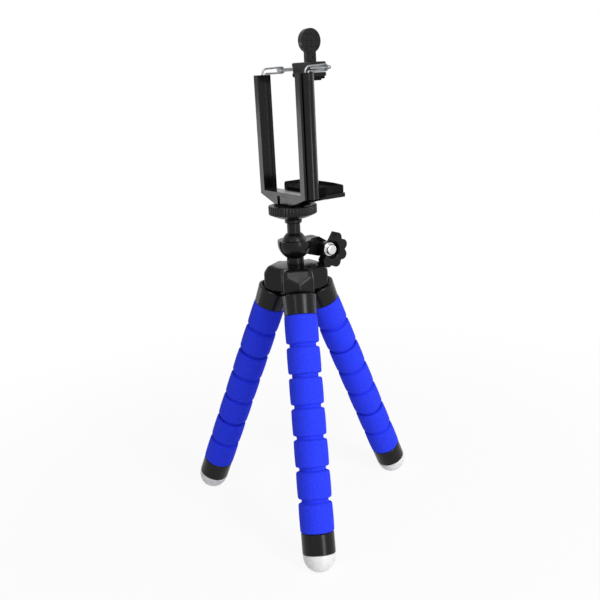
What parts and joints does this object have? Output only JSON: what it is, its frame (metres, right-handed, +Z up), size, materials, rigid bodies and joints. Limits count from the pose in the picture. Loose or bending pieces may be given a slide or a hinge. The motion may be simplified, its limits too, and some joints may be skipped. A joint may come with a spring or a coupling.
{
  "type": "phone tripod",
  "caption": "Small bendable tripod with foam-covered legs, a clamped ball head and a sprung clip that grips a phone by its long edges.",
  "frame": {"origin": "on the floor under the hub's and ball head's shared axis", "axes": "+Z up along the head; -Y is the side the phone faces and the first leg points to; +X along the clip's width"},
  "size_m": [0.1306, 0.1154, 0.2708],
  "materials": {
    "black_plastic": "satin",
    "black_nylon": "satin",
    "gloss_black": "gloss",
    "black_rubber": "matte",
    "blue_foam": "matte foam",
    "white_rubber": "matte",
    "wire_core": "satin",
    "steel": "satin",
    "bright_screw": "bright plated",
    "chrome_wire": "polished",
    "brass_insert": "satin"
  },
  "bodies": {
    "hub": {"hub_shell": "black_plastic", "hub_cover": "black_plastic", "hip_studs": "black_nylon", "socket_screw": "steel", "ball_socket": "black_plastic", "clamp_nut": "steel"},
    "knob": {"clamp_knob": "black_plastic", "clamp_screw": "bright_screw"},
    "seat": {"ball_seat": "black_nylon"},
    "ball": {"ball_stem": "black_nylon", "tripod_stud": "steel"},
    "disc": {"lock_disc": "black_plastic", "disc_pad": "black_rubber"},
    "clip": {"clip_frame": "gloss_black", "clip_insert": "brass_insert", "spring_anchors": "steel", "rail_caps": "black_nylon", "lower_jaw": "gloss_black", "jaw_screws": "steel", "lower_pad": "black_rubber", "spring_left": "steel", "spring_right": "steel"},
    "slider": {"upper_jaw": "gloss_black", "upper_pad": "black_rubber", "thumb_tab": "black_plastic", "cross_rod": "chrome_wire", "hairpin_left": "chrome_wire", "hairpin_right": "chrome_wire"},
    "leg_1_upper": {"leg_1_collar": "black_plastic", "leg_1_foam_1": "blue_foam", "leg_1_core_1": "wire_core"},
    "leg_1_middle": {"leg_1_foam_2": "blue_foam", "leg_1_core_2": "wire_core"},
    "leg_1_lower": {"leg_1_foam_3": "blue_foam", "leg_1_core_3": "wire_core", "leg_1_foot_collar": "black_plastic", "leg_1_foot": "white_rubber"},
    "leg_2_upper": {"leg_2_collar": "black_plastic", "leg_2_foam_1": "blue_foam", "leg_2_core_1": "wire_core"},
    "leg_2_middle": {"leg_2_foam_2": "blue_foam", "leg_2_core_2": "wire_core"},
    "leg_2_lower": {"leg_2_foam_3": "blue_foam", "leg_2_core_3": "wire_core", "leg_2_foot_collar": "black_plastic", "leg_2_foot": "white_rubber"},
    "leg_3_upper": {"leg_3_collar": "black_plastic", "leg_3_foam_1": "blue_foam", "leg_3_core_1": "wire_core"},
    "leg_3_middle": {"leg_3_foam_2": "blue_foam", "leg_3_core_2": "wire_core"},
    "leg_3_lower": {"leg_3_foam_3": "blue_foam", "leg_3_core_3": "wire_core", "leg_3_foot_collar": "black_plastic", "leg_3_foot": "white_rubber"}
  },
  "joints": [
    {"name": "knob_turn", "type": "hinge", "parent": "hub", "child": "knob", "pos_m": [-0.009, -0.0155, 0.1557], "axis": [-1, 0, 0], "continuous": true},
    {"name": "ball_pan", "type": "hinge", "parent": "hub", "child": "seat", "pos_m": [0, 0, 0.1604], "axis": [0, 0, 1], "continuous": true},
    {"name": "ball_tilt", "type": "hinge", "parent": "seat", "child": "ball", "pos_m": [0, 0, 0.1604], "axis": [1, 0, 0], "range_deg": [-30, 30]},
    {"name": "disc_turn", "type": "hinge", "parent": "ball", "child": "disc", "pos_m": [0, 0, 0.1773], "axis": [0, 0, 1], "continuous": true},
    {"name": "clip_turn", "type": "hinge", "parent": "ball", "child": "clip", "pos_m": [0, 0, 0.184], "axis": [0, 0, 1], "continuous": true},
    {"name": "jaw_slide", "type": "slide", "parent": "clip", "child": "slider", "axis": [0, 0, 1], "range_m": [0, 0.027], "stiffness_N_per_m": 150, "springref_m": -0.03, "deforming": ["spring_left", "spring_right"]},
    {"name": "leg_1_hip", "type": "hinge", "parent": "hub", "child": "leg_1_upper", "pos_m": [0, -0.01465, 0.13147], "axis": [-1, 0, 0], "range_deg": [-14, 10]},
    {"name": "leg_1_bend_1", "type": "hinge", "parent": "leg_1_upper", "child": "leg_1_middle", "pos_m": [0, -0.03003, 0.09433], "axis": [-1, 0, 0], "range_deg": [-10, 10]},
    {"name": "leg_1_bend_2", "type": "hinge", "parent": "leg_1_middle", "child": "leg_1_lower", "pos_m": [0, -0.04863, 0.04943], "axis": [-1, 0, 0], "range_deg": [-10, 10]},
    {"name": "leg_2_hip", "type": "hinge", "parent": "hub", "child": "leg_2_upper", "pos_m": [0.01269, 0.00732, 0.13147], "axis": [0.5, -0.866, 0], "range_deg": [-14, 10]},
    {"name": "leg_2_bend_1", "type": "hinge", "parent": "leg_2_upper", "child": "leg_2_middle", "pos_m": [0.02601, 0.01502, 0.09433], "axis": [0.5, -0.866, 0], "range_deg": [-10, 10]},
    {"name": "leg_2_bend_2", "type": "hinge", "parent": "leg_2_middle", "child": "leg_2_lower", "pos_m": [0.04212, 0.02432, 0.04943], "axis": [0.5, -0.866, 0], "range_deg": [-10, 10]},
    {"name": "leg_3_hip", "type": "hinge", "parent": "hub", "child": "leg_3_upper", "pos_m": [-0.01269, 0.00732, 0.13147], "axis": [0.5, 0.866, 0], "range_deg": [-14, 10]},
    {"name": "leg_3_bend_1", "type": "hinge", "parent": "leg_3_upper", "child": "leg_3_middle", "pos_m": [-0.02601, 0.01502, 0.09433], "axis": [0.5, 0.866, 0], "range_deg": [-10, 10]},
    {"name": "leg_3_bend_2", "type": "hinge", "parent": "leg_3_middle", "child": "leg_3_lower", "pos_m": [-0.04212, 0.02432, 0.04943], "axis": [0.5, 0.866, 0], "range_deg": [-10, 10]}
  ]
}
